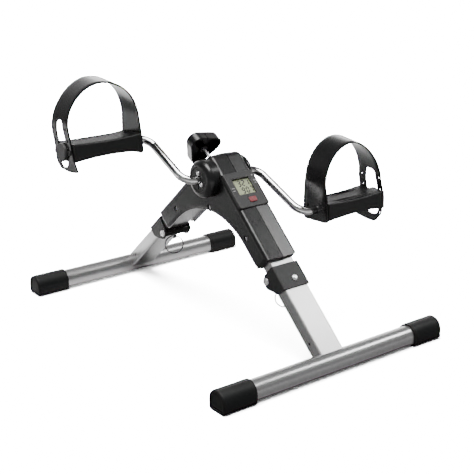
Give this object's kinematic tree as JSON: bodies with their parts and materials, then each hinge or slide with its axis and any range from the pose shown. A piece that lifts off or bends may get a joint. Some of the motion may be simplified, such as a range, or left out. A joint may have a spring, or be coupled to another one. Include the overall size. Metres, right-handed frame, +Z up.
{
  "type": "pedal exerciser",
  "caption": "Folding pedal exerciser: bent crank with strapped pedals on a plastic hub, hinged legs on foot tubes, tension knob and display.",
  "frame": {"origin": "on the floor, under the middle of the machine", "axes": "+X user's right, along the crank axis; +Y away from the user, from the display's leg to the other; +Z up"},
  "size_m": [0.417, 0.509, 0.3558],
  "materials": {
    "silver_paint": "satin silver powder coat",
    "black_paint": "black powder coat",
    "chrome": "mirror chrome plate",
    "bright_steel": "bright zinc plate",
    "dark_steel": "blackened steel",
    "housing_plastic": "fine satin moulding",
    "monitor_plastic": "satin moulding",
    "pedal_plastic": "satin moulding",
    "strap_rubber": "semi-gloss",
    "cap_rubber": "satin",
    "spindle_cap_plastic": "satin moulding",
    "red_plastic": "satin gloss",
    "clear_window": "clear, polished",
    "lcd": "smooth",
    "board_green": "solder mask",
    "cell_steel": "polished",
    "nylon": "natural nylon",
    "sensor_plastic": "smooth",
    "brake_lining": "pressed felt"
  },
  "bodies": {
    "frame": {"left_housing": "housing_plastic", "right_housing": "housing_plastic", "housing_screws": "bright_steel", "hub_tube": "dark_steel", "left_bush": "nylon", "right_bush": "nylon", "bearing_plate": "black_paint", "bearing_bolts": "bright_steel", "front_stub": "silver_paint", "rear_stub": "silver_paint", "front_hinge_barrel": "black_paint", "rear_hinge_barrel": "black_paint", "tension_nut": "housing_plastic", "monitor_case": "monitor_plastic", "lcd_window": "clear_window", "lcd_panel": "lcd", "circuit_board": "board_green", "battery": "cell_steel", "reed_sensor": "sensor_plastic"},
    "crank": {"crank_rod": "chrome", "brake_drum": "dark_steel", "thrust_collar": "nylon", "sensor_magnet": "cell_steel", "left_spindle_cap": "spindle_cap_plastic", "right_spindle_cap": "spindle_cap_plastic"},
    "left_pedal_set": {"left_pedal": "pedal_plastic", "left_strap": "strap_rubber"},
    "right_pedal_set": {"right_pedal": "pedal_plastic", "right_strap": "strap_rubber"},
    "front_leg": {"front_leg_tube": "silver_paint", "front_foot_tube": "silver_paint", "front_left_cap": "cap_rubber", "front_right_cap": "cap_rubber", "front_hinge_bracket": "black_paint", "front_hinge_rivet": "bright_steel", "front_pin_sleeve": "bright_steel"},
    "front_lock": {"front_lock_pin": "bright_steel"},
    "front_ring": {"front_pull_ring": "bright_steel"},
    "rear_leg": {"rear_leg_tube": "silver_paint", "rear_foot_tube": "silver_paint", "rear_left_cap": "cap_rubber", "rear_right_cap": "cap_rubber", "rear_hinge_bracket": "black_paint", "rear_hinge_rivet": "bright_steel", "rear_pin_sleeve": "bright_steel"},
    "rear_lock": {"rear_lock_pin": "bright_steel"},
    "rear_ring": {"rear_pull_ring": "bright_steel"},
    "brake": {"brake_shoe": "brake_lining"},
    "knob": {"tension_knob": "housing_plastic", "tension_screw": "bright_steel"},
    "button": {"reset_button": "red_plastic"}
  },
  "joints": [
    {"name": "crank_spin", "type": "hinge", "parent": "frame", "child": "crank", "pos_m": [0, 0, 0.2143], "axis": [1, 0, 0], "continuous": true},
    {"name": "left_pedal_spin", "type": "hinge", "parent": "crank", "child": "left_pedal_set", "pos_m": [-0.148, 0.09194, 0.26074], "axis": [1, 0, 0], "continuous": true},
    {"name": "right_pedal_spin", "type": "hinge", "parent": "crank", "child": "right_pedal_set", "pos_m": [0.148, -0.09194, 0.16786], "axis": [1, 0, 0], "continuous": true},
    {"name": "front_leg_fold", "type": "hinge", "parent": "frame", "child": "front_leg", "pos_m": [0, -0.12656, 0.09631], "axis": [1, 0, 0], "range_deg": [0, 90]},
    {"name": "front_pin_pull", "type": "slide", "parent": "front_leg", "child": "front_lock", "axis": [0, 0.6691, -0.7431], "range_m": [0, 0.008], "stiffness_N_per_m": 200, "springref_m": -0.01},
    {"name": "front_ring_swing", "type": "hinge", "parent": "front_lock", "child": "front_ring", "pos_m": [0.003, -0.13583, 0.08419], "axis": [0.866, -0.5, 0], "range_deg": [-25, 25]},
    {"name": "rear_leg_fold", "type": "hinge", "parent": "frame", "child": "rear_leg", "pos_m": [0, 0.12656, 0.09631], "axis": [-1, 0, 0], "range_deg": [0, 90]},
    {"name": "rear_pin_pull", "type": "slide", "parent": "rear_leg", "child": "rear_lock", "axis": [0, -0.6691, -0.7431], "range_m": [0, 0.008], "stiffness_N_per_m": 200, "springref_m": -0.01},
    {"name": "rear_ring_swing", "type": "hinge", "parent": "rear_lock", "child": "rear_ring", "pos_m": [0.003, 0.13583, 0.08419], "axis": [0.866, -0.5, 0], "range_deg": [-25, 25]},
    {"name": "brake_shoe_slide", "type": "slide", "parent": "frame", "child": "brake", "axis": [0, 0.8746, 0.4848], "range_m": [-0.00125, 0.00125]},
    {"name": "knob_turn", "type": "hinge", "parent": "brake", "child": "knob", "pos_m": [0, 0.04985, 0.24193], "axis": [0, 0.8746, 0.4848], "range_deg": [-360, 360]},
    {"name": "reset_button_press", "type": "slide", "parent": "frame", "child": "button", "axis": [0, 0.6691, -0.7431], "range_m": [0, 0.0012], "stiffness_N_per_m": 300, "springref_m": -0.0005}
  ],
  "couplings": [
    {"joint": "brake_shoe_slide", "follows": "knob_turn", "m_per_rad": 0.00019894}
  ]
}
